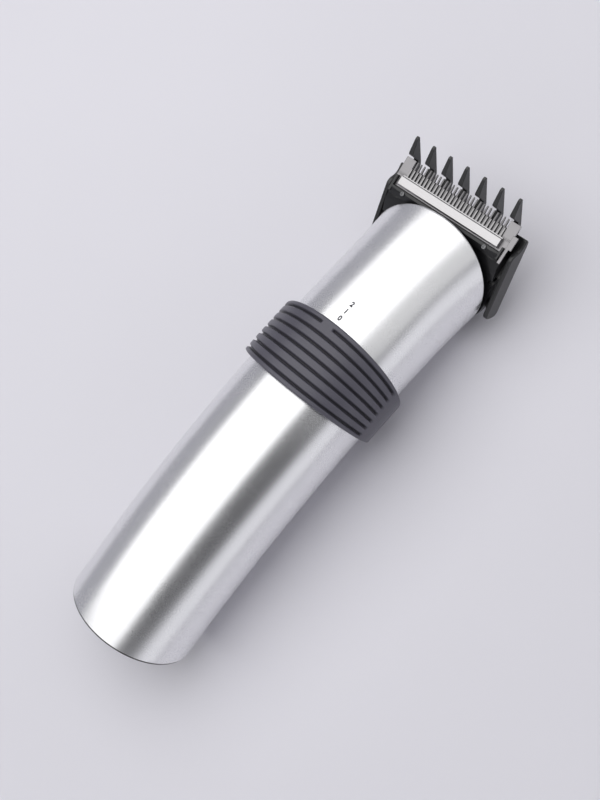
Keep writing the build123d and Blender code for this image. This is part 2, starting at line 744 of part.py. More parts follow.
prong_points = [
    (6.0, 4.9),
    (6.3, 4.2),
    (0.2, skin_v(0.2) + 0.2),
    (-3.0, skin_v(-3.0)),
    (-7.6, skin_v(-7.6)),
    (-7.6, skin_v(-7.6, comb_floor)),
    (-6.2, -fixed_thickness - 0.35),
    (0.35, -fixed_thickness + 0.2),
    (0.6, 3.0),
    (1.0, 3.3),
    (5.4, 4.95),
]
b = radians(blade_angle)
face_on = Plane(origin=tip_point, x_dir=(1, 0, 0), z_dir=(0, -sin(b), cos(b)))
root_half = prong_thickness / 2
tip_half = 0.45
for index in range(prong_count):
    x = (index - (prong_count - 1) / 2) * prong_pitch
    prong = blade_prism(prong_points, x - root_half, x + root_half)
    taper_points = [
        (x - root_half, -9),
        (x + root_half, -9),
        (x + root_half, 0.5),
        (x + tip_half, 7),
        (x - tip_half, 7),
        (x - root_half, 0.5),
    ]
    taper = make_face(Polyline(*taper_points, close=True))
    prong &= extrude(face_on * Pos(0, 0, -20) * taper, amount=40)
    comb += prong
add("guide_comb", comb)

# ================= place and write =================
boxes = [shape.bounding_box() for shape in nodes.values()]
rear_y = min(box.min.Y for box in boxes)
front_y = max(box.max.Y for box in boxes)
lowest = min(box.min.Z for box in boxes)
shift = Pos(0, -(rear_y + front_y) / 2, -lowest)
os.makedirs("parts", exist_ok=True)
for name, shape in nodes.items():
    export_step(shift * shape, f"parts/{name}.step")
print("placed by", shift.position)
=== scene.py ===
"""Cordless hair clipper: silver arched body, ribbed grip ring, blade head and guide comb."""

import json
import math

import bmesh
import bpy
from mathutils import Euler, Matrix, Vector


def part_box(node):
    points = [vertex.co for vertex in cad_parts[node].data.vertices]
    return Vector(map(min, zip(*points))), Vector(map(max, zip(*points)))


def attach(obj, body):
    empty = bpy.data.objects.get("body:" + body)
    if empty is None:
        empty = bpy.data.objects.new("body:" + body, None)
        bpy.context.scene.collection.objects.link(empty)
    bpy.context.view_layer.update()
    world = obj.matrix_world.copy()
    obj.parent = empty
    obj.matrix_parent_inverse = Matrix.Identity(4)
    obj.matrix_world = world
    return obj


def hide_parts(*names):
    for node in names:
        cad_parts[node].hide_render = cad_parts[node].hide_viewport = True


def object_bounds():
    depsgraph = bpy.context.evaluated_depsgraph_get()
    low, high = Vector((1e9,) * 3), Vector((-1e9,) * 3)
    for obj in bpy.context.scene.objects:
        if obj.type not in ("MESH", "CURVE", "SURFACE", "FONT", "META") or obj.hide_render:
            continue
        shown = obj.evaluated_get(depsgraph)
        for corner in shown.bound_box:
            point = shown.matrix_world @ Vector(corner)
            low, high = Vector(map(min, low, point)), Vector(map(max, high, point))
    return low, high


bl_info = {
    "name": "Hair Clipper",
    "version": (1, 0, 0),
    "blender": (4, 5, 0),
    "location": "View3D > Sidebar > Hair Clipper",
    "description": "Builds a cordless hair clipper with a grip ring, a blade head and a guide comb",
    "category": "Object",
}

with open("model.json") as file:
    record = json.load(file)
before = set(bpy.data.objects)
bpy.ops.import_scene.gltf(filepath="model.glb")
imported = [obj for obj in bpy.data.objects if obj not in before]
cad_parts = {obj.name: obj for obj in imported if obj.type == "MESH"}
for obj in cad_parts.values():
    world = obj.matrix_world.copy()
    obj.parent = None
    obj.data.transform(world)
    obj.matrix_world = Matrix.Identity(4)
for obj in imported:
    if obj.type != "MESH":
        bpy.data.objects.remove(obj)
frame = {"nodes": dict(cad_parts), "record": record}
cad_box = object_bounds()

MM = 0.001
TURN = 2 * math.pi
SIDES = (-1, 1)
WELD = 1e-7
CAD_WELD = 2e-6


# ---------------------------------------------------------------- sizes
def length(name, text, value):
    return bpy.props.FloatProperty(
        name=name, description=text, default=value, unit="LENGTH", subtype="DISTANCE", precision=5
    )


def ratio(name, text, value):
    return bpy.props.FloatProperty(name=name, description=text, default=value, precision=4)


def count(name, text, value):
    return bpy.props.IntProperty(name=name, description=text, default=value, min=1)


def turn(name, text, value):
    return bpy.props.FloatProperty(
        name=name, description=text, default=math.radians(value), unit="ROTATION", subtype="ANGLE"
    )


def colour(name, text, value):
    return bpy.props.FloatVectorProperty(
        name=name, description=text, default=value, size=3, subtype="COLOR", min=0.0, max=1.0
    )


def vector(name, text, value, subtype, unit):
    return bpy.props.FloatVectorProperty(
        name=name, description=text, default=value, size=3, subtype=subtype, unit=unit
    )


class ClipperBody(bpy.types.PropertyGroup):
    """The arched oval tube that the two barrels are cut from."""

    arc_radius: length("Arc radius", "Radius that the body is bent to", 0.363)
    half_width: length("Half width", "Half the width of the oval", 0.0205)
    half_height: length("Half height", "Half the height of the oval", 0.0158)
    wall: length("Wall", "Thickness of the shell", 0.0016)
    rim: length("Rim", "Chamfer of the shell's open edges", 0.0005)
    flare_start: length("Flare start", "Station where the front starts to widen", 0.052)
    flare_length: length("Flare length", "Length over which the flare is counted", 0.030)
    flare_width: length("Flare width", "Widening of each side over that length", 0.0022)
    flare_height: length("Flare height", "Rise of the top over that length", 0.0005)
    tail_station: length("Tail station", "Where the tail's slanted plane meets the arc", -0.06455)
    tail_slope: ratio("Tail slope", "Station gained for each unit of height at the tail", -0.30)
    seam_station: length("Seam station", "Where the two barrels meet, under the ring", 0.0298)
    seam_slope: ratio("Seam slope", "Slant of that seam", 0.13)
    mouth_station: length("Mouth station", "Where the slanted mouth meets the arc", 0.06895)
    mouth_slope: ratio("Mouth slope", "Slant of the mouth", 0.53)
    slot_half: length("Slot half width", "Half the width of the switch slot", 0.0026)
    slot_rear: length("Slot rear", "Station where the switch slot starts", 0.0199)
    slot_front: length("Slot front", "Station where the switch slot ends", 0.03006)
    shaft_rear: length("Shaft rear", "Motor shaft's rear end, ahead of the arc's apex", 0.0345)
    shaft_drop: length("Shaft drop", "Motor shaft's axis below the arc's apex", 0.0032)


class ClipperRing(bpy.types.PropertyGroup):
    """The ribbed rubber ring that slides to set the cutting length."""

    rear_station: length("Rear station", "Rear edge of the ring", 0.01662)
    rear_slope: ratio("Rear slope", "Slant of the rear edge", -0.166)
    front_station: length("Front station", "Front edge of the ring", 0.03251)
    front_slope: ratio("Front slope", "Slant of the front edge", 0.128)
    inner: length("Inner offset", "Inside of the rubber, out from the barrel", 0.0011)
    outer: length("Outer offset", "Outside of the rubber, out from the barrel", 0.0025)
    edge: length("Edge radius", "Rounding of the ring's two edges", 0.0005)
    grooves: count("Grooves", "Number of grooves between the ribs", 7)
    groove_depth: length("Groove depth", "Depth of one groove", 0.0010)
    groove_half: length("Groove half width", "Half the width of one groove", 0.00062)
    groove_end: length("Groove end", "Height above the arc's apex at which the grooves stop", 0.0026)
    land_half: length("Land half width", "Half the width of the index land in the first groove", 0.00195)
    mark_station: length("Mark station", "Place of the first position mark", 0.0370)
    mark_pitch: length("Mark pitch", "Distance between two position marks", 0.00248)
    mark_size: length("Mark size", "Type size of the position marks", 0.0021)
    mark_weight: length("Mark weight", "Thickening of the position marks' strokes", 0.00009)
    mark_relief: length("Mark relief", "Height of the ink above the barrel", 0.00003)


class ClipperBlades(bpy.types.PropertyGroup):
    """The steel pair: u runs forward from the tooth tips, v out of the blade plane."""

    tip_y: length("Tip forward", "Tooth tip line, ahead of the arc's apex", 0.08928)
    tip_z: length("Tip height", "Tooth tip line, above the arc's apex", 0.00686)
    angle: turn("Blade angle", "Slope of the blade plane", 18.5)
    half_width: length("Fixed half width", "Half the width of the fixed blade", 0.0211)
    thickness: length("Thickness", "Thickness of the fixed blade", 0.0012)
    rear: length("Rear", "Rear edge of the fixed blade, behind the tips", 0.0108)
    depth: length("Tooth depth", "Depth of the fixed blade's gaps", 0.0046)
    pitch: length("Pitch", "Distance between two teeth", 0.00124)
    fixed_gaps: count("Fixed gaps", "Gaps of the fixed blade", 29)
    cutter_gaps: count("Cutter gaps", "Gaps of the moving cutter", 30)
    cutter_half: length("Cutter half width", "Half the width of the moving cutter", 0.0186)
    bar_rear: length("Bar rear", "Rear edge of the cutter's bar", -0.00843)
    bar_front: length("Bar front", "Front edge of the cutter's bar", -0.00547)
    bar_top: length("Bar top", "Height of the cutter's bar", 0.0013)
    cutter_tip: length("Cutter tip", "Tips of the cutter's teeth", -0.00248)
    screw_x: length("Screw place", "Sideways place of the blade screws", 0.0154)
    screw_u: length("Screw place along", "Place of the blade screws behind the tips", -0.00995)
    retainer_top: length("Retainer top", "Height of the black cover behind the cutter", 0.0010)


class ClipperComb(bpy.types.PropertyGroup):
    """The clip-on guide comb."""

    skin_angle: turn("Skin angle", "Slope of the comb's skin side", 22.5)
    skin_drop: length("Skin drop", "Skin side below the tooth tips", 0.0035)
    floor: length("Floor", "Thickness of the comb's floor", 0.0015)
    arm_inner: length("Arm inside", "Inner face of an arm", 0.0222)
    arm_outer: length("Arm outside", "Outer face of an arm", 0.0237)
    arm_width: length("Arm width", "Width of an arm", 0.0056)
    front: length("Front", "Front end of the arms and the floor", -0.0024)
    shoulder: length("Shoulder", "Where the arms reach their full width", -0.0086)
    rear: length("Rear", "Rear end of the arms", -0.0256)
    prongs: count("Prongs", "Number of prongs", 7)
    prong_pitch: length("Prong pitch", "Distance between two prongs", 0.0062)
    prong_thickness: length("Prong thickness", "Thickness of a prong at its root", 0.0017)
    tip_thickness: length("Tip thickness", "Thickness of a prong at its tip", 0.0009)
    rail_v: length("Rail height", "Height of the rail that slides in the holder", -0.0046)


class ClipperFinish(bpy.types.PropertyGroup):
    """Colours of the visible finishes."""

    silver: colour("Silver", "Satin metallic silver of the barrels", (0.82, 0.82, 0.835))
    black: colour("Black", "Black plastic of the head", (0.008, 0.008, 0.009))
    comb: colour("Comb", "Dark plastic of the comb", (0.020, 0.020, 0.021))
    cap: colour("Cap", "Dark grey plastic of the tail cap", (0.012, 0.012, 0.013))
    ring: colour("Ring", "Violet grey rubber of the grip ring", (0.080, 0.077, 0.098))
    ink: colour("Ink", "Ink of the position marks", (0.02, 0.02, 0.028))
    blade: colour("Blade", "Ground steel of the fixed blade", (0.27, 0.262, 0.27))
    cutter: colour("Cutter", "Polished steel of the cutter", (0.50, 0.49, 0.495))


class ClipperStage(bpy.types.PropertyGroup):
    """Camera, floor and lights."""

    camera_place: vector(
        "Camera place", "Where the camera stands", (0.129518, -0.000114, 0.275676), "XYZ", "LENGTH"
    )
    camera_turn: vector(
        "Camera turn",
        "How the camera is turned",
        tuple(math.radians(a) for a in (18.6108, 19.8638, 43.1408)),
        "EULER",
        "ROTATION",
    )
    lens: bpy.props.FloatProperty(name="Lens", description="Focal length in millimetres", default=44.81)
    floor_half: length("Floor half size", "Half the side of the floor", 4.0)
    floor: colour("Floor", "Pale floor", (0.72, 0.71, 0.76))
    horizon: colour("Horizon", "Light of the room's walls", (0.86, 0.86, 0.90))
    shade: colour("Shaded wall", "Light of the wall at the left", (0.34, 0.34, 0.38))
    ceiling: colour("Ceiling", "Dim light of the room above the walls", (0.03, 0.03, 0.034))
    wall_top: ratio("Wall top", "Height at which the walls' light starts to fade", 0.36)
    wall_fade: ratio("Wall fade", "Height at which the walls' light is gone", 0.62)
    shade_fade: ratio("Shade fade", "How far to the left the shaded wall is reached", -0.6)
    key_power: ratio("Key power", "Watts of the soft box overhead", 14.0)
    fill_power: ratio("Fill power", "Watts of the soft box over the head", 1.6)


GROUPS = {
    "clipper_body": ClipperBody,
    "clipper_ring": ClipperRing,
    "clipper_blades": ClipperBlades,
    "clipper_comb": ClipperComb,
    "clipper_finish": ClipperFinish,
    "clipper_stage": ClipperStage,
}


# ---------------------------------------------------------------- shader expressions
class Value:
    """A shader number. Arithmetic on it adds Math nodes."""

    def __init__(self, graph, socket):
        self.graph = graph
        self.socket = socket

    def _math(self, operation, first, second):
        node = self.graph.node("ShaderNodeMath", {"operation": operation}, {0: first, 1: second})
        return Value(self.graph, node.outputs[0])

    def __add__(self, other):
        return self._math("ADD", self, other)

    __radd__ = __add__

    def __sub__(self, other):
        return self._math("SUBTRACT", self, other)

    def __mul__(self, other):
        return self._math("MULTIPLY", self, other)


class Nodes:
    """A node tree whose nodes are all made by one method."""

    def __init__(self, tree):
        self.tree = tree

    def node(self, kind, settings=None, inputs=None):
        """Add a node: its settings first, then the values or links of its sockets."""
        made = self.tree.nodes.new(kind)
        for key, value in (settings or {}).items():
            setattr(made, key, value)
        for key, value in (inputs or {}).items():
            source = value.socket if isinstance(value, Value) else value
            if isinstance(source, bpy.types.NodeSocket):
                self.tree.links.new(source, made.inputs[key])
            else:
                made.inputs[key].default_value = source
        return made


class Graph(Nodes):
    """The node tree of a new material, or of a world."""

    def __init__(self, name, kind="materials", coordinates="Object"):
        self.owner = getattr(bpy.data, kind).new(name)
        self.owner.use_nodes = True
        super().__init__(self.owner.node_tree)
        self.tree.nodes.clear()
        self.place = self.node("ShaderNodeTexCoord").outputs[coordinates]

    def noise(self, stretch, detail=3.0, rough=0.55):
        """Noise over the object's own coordinates; stretch is in features per metre on X, Y and Z."""
        spread = self.node("ShaderNodeMapping", {}, {"Vector": self.place, "Scale": stretch})
        made = self.node(
            "ShaderNodeTexNoise",
            {},
            {"Vector": spread.outputs[0], "Scale": 1.0, "Detail": detail, "Roughness": rough},
        )
        return Value(self, made.outputs["Fac"])

    def attribute(self, name):
        """A number that each point of the mesh carries."""
        return Value(self, self.node("ShaderNodeAttribute", {"attribute_name": name}).outputs["Fac"])

    def blend(self, share, first, second):
        """Colour between two colours."""
        mix = self.node("ShaderNodeMix", {"data_type": "RGBA"}, {0: share, 6: first, 7: second})
        return mix.outputs[2]

    def surface(self, base, rough, metallic=0.0, height=None, bump=0.0, coat=0.0, alpha=1.0):
        """Finish the material with one surface; height is what its bump is taken from."""
        shader = self.node(
            "ShaderNodeBsdfPrincipled",
            {},
            {
                "Base Color": base,
                "Roughness": rough,
                "Metallic": metallic,
                "Coat Weight": coat,
                "Alpha": alpha,
            },
        )
        if height is not None:
            relief = {"Height": height, "Strength": bump, "Distance": 0.1 * MM}
            lift = self.node("ShaderNodeBump", {}, relief)
            self.tree.links.new(lift.outputs[0], shader.inputs["Normal"])
        self.node("ShaderNodeOutputMaterial", {}, {"Surface": shader.outputs[0]})
        return self.owner


def shaded(rgb, factor):
    """A colour made lighter or darker, with its alpha."""
    return tuple(min(1.0, part * factor) for part in rgb) + (1.0,)


def painted_silver(name, rgb):
    """Metallic lacquer: fine flakes over a soft, uneven haze."""
    graph = Graph(name)
    flake = graph.noise((5200.0,) * 3, detail=2.0)
    haze = graph.noise((45.0,) * 3)
    base = graph.blend(flake * 0.6 + haze * 0.4, shaded(rgb, 0.93), shaded(rgb, 1.05))
    rough = 0.22 + haze * 0.07 + flake * 0.03
    return graph.surface(base, rough, metallic=0.92, height=flake, bump=0.02, coat=0.15)


def moulded(name, rgb, rough, texture, bump, spread=0.25, coat=0.0, groove_shade=False):
    """Moulded plastic or rubber: a fine texture, in features per metre, and slight marbling; for ribbed
    rubber, painted shade in the grooves.
    """
    graph = Graph(name)
    grain = graph.noise((texture,) * 3, detail=4.0)
    cloud = graph.noise((90.0,) * 3)
    mottle = grain * 0.5 + cloud * 0.5
    base = graph.blend(mottle, shaded(rgb, 1.0 - spread), shaded(rgb, 1.0 + spread))
    # Painted shade: the rubber is painted darker where the groove attribute is high, down to 0.12 of its
    # colour, for the shade inside the grooves.
    if groove_shade:
        base = graph.blend(graph.attribute("groove") * 0.85, base, shaded(rgb, 0.12))
    rough = rough + cloud * 0.12 - grain * 0.05
    return graph.surface(base, rough, height=grain, bump=bump, coat=coat)


def ground_steel(name, rgb, rough, lines=(160.0, 9000.0, 9000.0), spread=0.14):
    """Steel ground in one direction: long fine scratches and a faint film of oil."""
    graph = Graph(name)
    scratch = graph.noise(lines, rough=0.7)
    film = graph.noise((260.0,) * 3)
    streak = scratch * 0.7 + film * 0.3
    base = graph.blend(streak, shaded(rgb, 1.0 - spread), shaded(rgb, 1.0 + spread))
    # Painted shade: points with a groove value, the teeth, are painted darker, down to 0.3 of the steel's
    # colour.
    base = graph.blend(graph.attribute("groove"), base, shaded(rgb, 0.3))
    rough = rough + scratch * 0.16 + film * 0.05
    return graph.surface(base, rough, metallic=1.0, height=scratch, bump=0.12)


def plated(name, rgb, rough):
    """Bright plated metal with faint clouding."""
    graph = Graph(name)
    cloud = graph.noise((420.0,) * 3)
    fine = graph.noise((6000.0,) * 3)
    base = graph.blend(cloud, shaded(rgb, 0.88), shaded(rgb, 1.08))
    return graph.surface(base, rough + cloud * 0.1, metallic=1.0, height=fine, bump=0.05)


def wound(name, rgb):
    """Enamelled copper laid in turns."""
    graph = Graph(name)
    bands = graph.node(
        "ShaderNodeTexWave",
        {"wave_type": "BANDS", "bands_direction": "Y"},
        {"Vector": graph.place, "Scale": 900.0, "Distortion": 0.6, "Detail": 1.0},
    )
    turns = Value(graph, bands.outputs["Fac"])
    base = graph.blend(turns, shaded(rgb, 0.45), shaded(rgb, 1.2))
    return graph.surface(base, 0.28 + turns * 0.15, metallic=1.0, height=turns, bump=0.5)


def soldered(name, rgb):
    """Solder mask over copper tracks."""
    graph = Graph(name)
    cells = graph.node(
        "ShaderNodeTexVoronoi",
        {"feature": "F1", "distance": "MANHATTAN"},
        {"Vector": graph.place, "Scale": 320.0},
    )
    track = Value(graph, cells.outputs["Distance"])
    base = graph.blend(track, shaded(rgb, 0.7), shaded(rgb, 1.8))
    return graph.surface(base, 0.35 + track * 0.2, height=track, bump=0.2, coat=0.3)


def clear(name, rgb):
    """Clear moulded window with a milky heart."""
    graph = Graph(name)
    milk = graph.noise((700.0,) * 3)
    base = graph.blend(milk, shaded(rgb, 0.8), shaded(rgb, 1.2))
    return graph.surface(base, 0.08 + milk * 0.1, height=milk, bump=0.03, coat=0.5, alpha=0.85)


def make_materials(finish):
    """One material for each slot of the record."""
    return {
        "silver_shell": painted_silver("SilverLacquer", finish.silver),
        "black_plastic": moulded("BlackPlastic", finish.black, 0.27, 3500.0, 0.10, coat=0.1),
        "comb_plastic": moulded("CombPlastic", finish.comb, 0.30, 2600.0, 0.12, coat=0.1),
        "cap_plastic": moulded("CapPlastic", finish.cap, 0.36, 3000.0, 0.18),
        "ring_rubber": moulded("RingRubber", finish.ring, 0.33, 3800.0, 0.2, 0.15, groove_shade=True),
        "inner_plastic": moulded("ChassisPlastic", (0.35, 0.36, 0.38), 0.45, 2500.0, 0.15, 0.12),
        "mark_ink": moulded("MarkInk", finish.ink, 0.5, 5000.0, 0.1, 0.3),
        "blade_steel": ground_steel("BladeSteel", finish.blade, 0.26),
        "cutter_steel": ground_steel("CutterSteel", finish.cutter, 0.24),
        "screw_steel": plated("ScrewSteel", (0.16, 0.16, 0.165), 0.28),
        "contact_metal": plated("ContactNickel", (0.75, 0.74, 0.70), 0.18),
        "battery_wrap": moulded("CellSleeve", (0.05, 0.22, 0.12), 0.22, 500.0, 0.08, 0.15, 0.4),
        "board_green": soldered("CircuitBoard", (0.03, 0.16, 0.07)),
        "chip_black": moulded("ChipPackage", (0.03, 0.03, 0.03), 0.45, 6000.0, 0.2),
        "motor_steel": ground_steel("MotorCan", (0.55, 0.55, 0.57), 0.3, (900.0, 150.0, 900.0)),
        "magnet_dark": moulded("SinteredMagnet", (0.07, 0.07, 0.075), 0.55, 4500.0, 0.4),
        "winding_copper": wound("CopperTurns", (0.60, 0.27, 0.12)),
        "bush_brass": plated("SinteredBrass", (0.65, 0.48, 0.20), 0.3),
        "lead_rubber": moulded("LeadSleeve", (0.35, 0.03, 0.03), 0.42, 1800.0, 0.1),
        "light_window": clear("LightWindow", (0.55, 0.75, 0.60)),
    }


MATERIALS = {}
SLOT_OF = {part["node"]: part["material_slot"] for part in frame["record"]["subparts"]}
BODY_OF = {
    node: body
    for body, members in frame["record"]["behaviour"]["bodies"].items()
    for node in members
}


# ---------------------------------------------------------------- mesh helpers
def placed(name, data):
    """New object in the scene."""
    obj = bpy.data.objects.new(name, data)
    bpy.context.scene.collection.objects.link(obj)
    return obj


def piece(name, verts, faces, groove=None):
    """New object at the origin whose mesh has these points and faces, and for each point a groove value
    that sets how much painted shade its colour gets.
    """
    mesh = bpy.data.meshes.new(name)
    mesh.from_pydata([tuple(v) for v in verts], [], faces)
    if groove:
        mesh.attributes.new("groove", "FLOAT", "POINT").data.foreach_set("value", groove)
    mesh.validate()
    return placed(name, mesh)


def drawn_mesh(obj):
    """The mesh that an object's text or modifiers make."""
    bpy.context.view_layer.update()
    depsgraph = bpy.context.evaluated_depsgraph_get()
    return bpy.data.meshes.new_from_object(obj.evaluated_get(depsgraph), depsgraph=depsgraph)


def baked(obj):
    """Swap the object's mesh for what its modifiers make, and drop the modifiers."""
    result = drawn_mesh(obj)
    obj.modifiers.clear()
    obj.data = result
    return obj


def outward(obj):
    """Merge doubles and turn every face outwards."""
    work = bmesh.new()
    work.from_mesh(obj.data)
    bmesh.ops.remove_doubles(work, verts=work.verts, dist=WELD)
    bmesh.ops.recalc_face_normals(work, faces=work.faces)
    work.to_mesh(obj.data)
    work.free()
    return obj


def soften(obj, width, segments=3, limit=35.0):
    """Round the sharp edges and keep the flats flat."""
    bevel = obj.modifiers.new("Rounding", "BEVEL")
    bevel.width = width
    bevel.segments = segments
    bevel.limit_method = "ANGLE"
    bevel.angle_limit = math.radians(limit)
    bevel.use_clamp_overlap = True
    obj.data.polygons.foreach_set("use_smooth", [True] * len(obj.data.polygons))
    flats = obj.modifiers.new("Flats", "WEIGHTED_NORMAL")
    flats.keep_sharp = True
    return baked(obj)


def joined(name, objects):
    """One object from several; their meshes are kept as they are."""
    work = bmesh.new()
    for obj in objects:
        work.from_mesh(obj.data)
        bpy.data.objects.remove(obj)
    mesh = bpy.data.meshes.new(name)
    work.to_mesh(mesh)
    work.free()
    return placed(name, mesh)


def settle(obj, *nodes):
    """Give a finished piece its finish, and let it stand for the CAD nodes on the same body."""
    slot = SLOT_OF[nodes[0]]
    obj.data.materials.clear()
    obj.data.materials.append(MATERIALS[slot])
    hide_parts(*nodes)
    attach(obj, BODY_OF[nodes[0]])
    return obj


def row_tree():
    """A base with one element repeated along a straight row."""
    tree = bpy.data.node_groups.new("ClipperRow", "GeometryNodeTree")
    face = tree.interface
    for label, kind in (
        ("Base", "NodeSocketGeometry"),
        ("Element", "NodeSocketObject"),
        ("Count", "NodeSocketInt"),
        ("Start", "NodeSocketVector"),
        ("Step", "NodeSocketVector"),
        ("Finish", "NodeSocketMaterial"),
    ):
        face.new_socket(name=label, in_out="INPUT", socket_type=kind)
    face.new_socket(name="Result", in_out="OUTPUT", socket_type="NodeSocketGeometry")
    row = Nodes(tree)
    give = row.node("NodeGroupInput").outputs
    places = {"Count": give["Count"], "Start Location": give["Start"], "Offset": give["Step"]}
    line = row.node("GeometryNodeMeshLine", {"mode": "OFFSET"}, places)
    element = row.node("GeometryNodeObjectInfo", {}, {"Object": give["Element"]})
    held = {"Points": line.outputs["Mesh"], "Instance": element.outputs["Geometry"]}
    copies = row.node("GeometryNodeInstanceOnPoints", {}, held)
    together = row.node("GeometryNodeJoinGeometry", {}, {0: copies.outputs["Instances"]})
    tree.links.new(give["Base"], together.inputs[0])
    real = row.node("GeometryNodeRealizeInstances", {}, {0: together.outputs[0]})
    finish = {"Geometry": real.outputs[0], "Material": give["Finish"]}
    paint = row.node("GeometryNodeSetMaterial", {}, finish)
    row.node("NodeGroupOutput", {}, {0: paint.outputs[0]})
    return tree


def in_a_row(base, element, amount, start, step, finish):
    """Repeat an element along X on a base, as a plain mesh; the element's own object goes."""
    tree = bpy.data.node_groups.get("ClipperRow") or row_tree()
    socket_of = {item.name: item.identifier for item in tree.interface.items_tree}
    row = base.modifiers.new("Row", "NODES")
    row.node_group = tree
    row[socket_of["Element"]] = element
    row[socket_of["Count"]] = amount
    row[socket_of["Start"]] = (start, 0.0, 0.0)
    row[socket_of["Step"]] = (step, 0.0, 0.0)
    row[socket_of["Finish"]] = finish
    baked(base)
    bpy.data.objects.remove(element)
    return base


# ---------------------------------------------------------------- the clipper's own lines
def sizes(name):
    """One of the scene's groups of sizes."""
    return getattr(bpy.context.scene, name)


def apex():
    """The arc's apex, found from the motor shaft's place."""
    body = sizes("clipper_body")
    low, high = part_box("motor_shaft")
    return Vector((0.0, low.y - body.shaft_rear, (low.z + high.z) / 2 + body.shaft_drop))


def on_arc(station, x, height):
    """Point at a station along the arc, moved sideways and out from the arc."""
    radius = sizes("clipper_body").arc_radius
    a = station / radius
    out = radius + height
    return apex() + Vector((x, out * math.sin(a), out * math.cos(a) - radius))


class Skin:
    """The body's outline, kept as plain numbers for speed."""

    reach = 0.02
    halvings = 36

    def __init__(self):
        body = sizes("clipper_body")
        self.radius = body.arc_radius
        self.width = body.half_width
        self.height = body.half_height
        self.flare = (body.flare_start, body.flare_length, body.flare_width, body.flare_height)
        self.apex = apex()

    def point(self, station, angle, lift=0.0):
        """Point of the outline at an angle round the body, lifted off the skin."""
        start, span, wide, high = self.flare
        share = (max(0.0, station - start) / span) ** 2
        x = (self.width + share * wide + lift) * math.cos(angle)
        out = self.radius + (self.height + share * high + lift) * math.sin(angle)
        a = station / self.radius
        return self.apex + Vector((x, out * math.sin(a), out * math.cos(a) - self.radius))

    def cut(self, station, slope, angle, lift=0.0):
        """Station at which a line along the skin meets a slanted plane."""
        a = station / self.radius
        normal = Vector((0, math.cos(a) - slope * math.sin(a), -math.sin(a) - slope * math.cos(a)))
        centre = self.apex + Vector((0, self.radius * math.sin(a), self.radius * (math.cos(a) - 1)))
        low, high = station - self.reach, station + self.reach
        for _ in range(self.halvings):
            middle = (low + high) / 2
            if (self.point(middle, angle, lift) - centre).dot(normal) < 0:
                low = middle
            else:
                high = middle
        return (low + high) / 2

    def edge(self, plane, angles, lift=0.0):
        """Stations at which a slanted plane cuts the skin."""
        return [self.cut(*plane, angle, lift) for angle in angles]

    def row(self, starts, ends, share, angles, lift):
        """Points round the body, a share of the way from one edge to another."""
        return [
            self.point(start + share * (end - start), angle, lift)
            for start, end, angle in zip(starts, ends, angles)
        ]


def closed_rings(rings):
    """Points and faces of a surface through closed rings; the last ring joins the first."""
    amount, around = len(rings), len(rings[0])
    verts = [point for ring in rings for point in ring]
    faces = []
    for i in range(amount):
        here, there = i * around, ((i + 1) % amount) * around
        for j in range(around):
            k = (j + 1) % around
            faces.append((here + j, here + k, there + k, there + j))
    return verts, faces


def shell(name, rear, front, steps, around=224):
    """A length of the oval tube between two slanted planes."""
    skin = Skin()
    wall = sizes("clipper_body").wall
    angles = [TURN * j / around for j in range(around)]
    rings = []
    for lift, order in ((0.0, range(steps + 1)), (-wall, range(steps, -1, -1))):
        starts, ends = skin.edge(rear, angles, lift), skin.edge(front, angles, lift)
        for i in order:
            rings.append(skin.row(starts, ends, i / steps, angles, lift))
    return outward(piece(name, *closed_rings(rings)))


def blade_point(u, v, x=0.0):
    """Point of the blades' own frame: u forward from the tooth tips, v out of the blade plane."""
    blades = sizes("clipper_blades")
    c, s = math.cos(blades.angle), math.sin(blades.angle)
    tip = apex() + Vector((0.0, blades.tip_y, blades.tip_z))
    return tip + Vector((x, u * c - v * s, u * s + v * c))


def rounded(points, radius, steps=5, most=0.45):
    """A side-view outline with its corners rounded, over at most this share of each side."""
    result = []
    amount = len(points)
    for i in range(amount):
        before, here, after = (Vector(points[(i + k) % amount]) for k in (-1, 0, 1))
        back, ahead = before - here, after - here
        reach = min(radius, most * back.length, most * ahead.length)
        start, end = here + back.normalized() * reach, here + ahead.normalized() * reach
        for k in range(steps + 1):
            t = k / steps
            result.append(start * (1 - t) ** 2 + here * 2 * t * (1 - t) + end * t * t)
    return result


def prism_faces(amount):
    """Faces of a solid between two outlines that have this many points each."""
    faces = [tuple(range(amount)), tuple(range(2 * amount - 1, amount - 1, -1))]
    for i in range(amount):
        k = (i + 1) % amount
        faces.append((i, k, amount + k, amount + i))
    return faces


def blade_prism(name, points, x0, x1, taper=None):
    """Side-view outline in u and v drawn out across the blades; taper gives the half width at u."""
    verts = []
    for side, x in ((-1, x0), (1, x1)):
        for u, v in points:
            verts.append(blade_point(u, v, side * taper(u) if taper else x))
    return outward(piece(name, verts, prism_faces(len(points))))


def skin_v(u, lift=0.0):
    """Height of the comb's skin side at u, raised by lift."""
    comb = sizes("clipper_comb")
    return -comb.skin_drop + u * math.tan(comb.skin_angle) + lift / math.cos(comb.skin_angle)


def from_cad(name, node, width, segments=3, flat=0.6):
    """A piece with a CAD node's shape, its flats (in degrees) made whole and its edges rounded."""
    mesh = frame["nodes"][node].data.copy()
    obj = placed(name, mesh)
    work = bmesh.new()
    work.from_mesh(mesh)
    bmesh.ops.remove_doubles(work, verts=work.verts, dist=CAD_WELD)
    bmesh.ops.dissolve_limit(work, angle_limit=math.radians(flat), verts=work.verts, edges=work.edges)
    work.to_mesh(mesh)
    work.free()
    mesh.materials.clear()
    return settle(soften(obj, width, segments), node)


